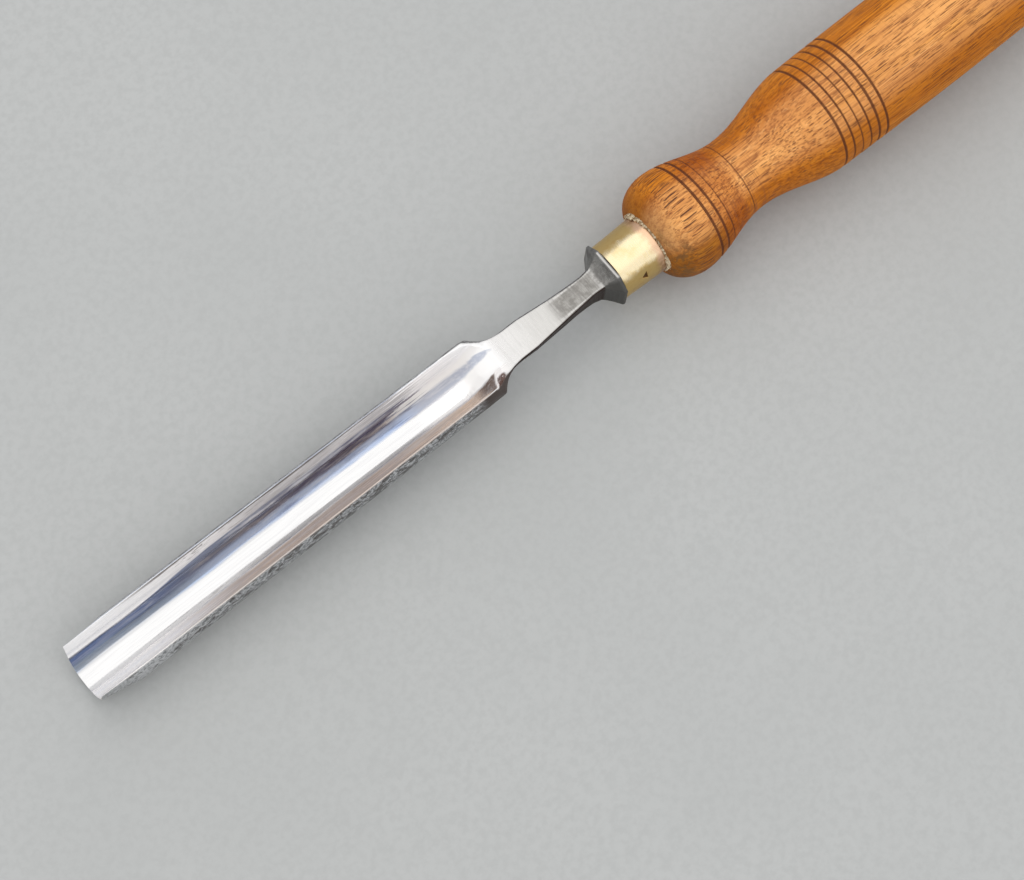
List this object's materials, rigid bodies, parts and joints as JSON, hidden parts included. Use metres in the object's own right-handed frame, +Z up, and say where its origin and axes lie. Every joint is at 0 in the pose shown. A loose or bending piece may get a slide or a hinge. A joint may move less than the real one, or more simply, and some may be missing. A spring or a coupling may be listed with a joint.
{
  "type": "carving gouge",
  "caption": "Deep hand gouge: U-section steel blade with an outside bevel, slim neck, flared bolster, brass ferrule and turned wooden handle, for hollowing and shaping wood.",
  "frame": {"origin": "on the surface the tool rests on, under the middle of its bounding box", "axes": "+X along the tool from its cutting edge towards its butt, +Z up and out of the open flute, +Y to the left seen from the butt"},
  "size_m": [0.3926, 0.0378, 0.0421],
  "materials": {
    "polished_steel": "polished flute, satin neck and bolster, dark forged outside",
    "brass": "worn satin, slightly tarnished",
    "varnished_wood": "worn varnish over open-pored wood"
  },
  "bodies": {
    "root": {"blade": "polished_steel", "ferrule": "brass", "handle": "varnished_wood"}
  },
  "joints": []
}
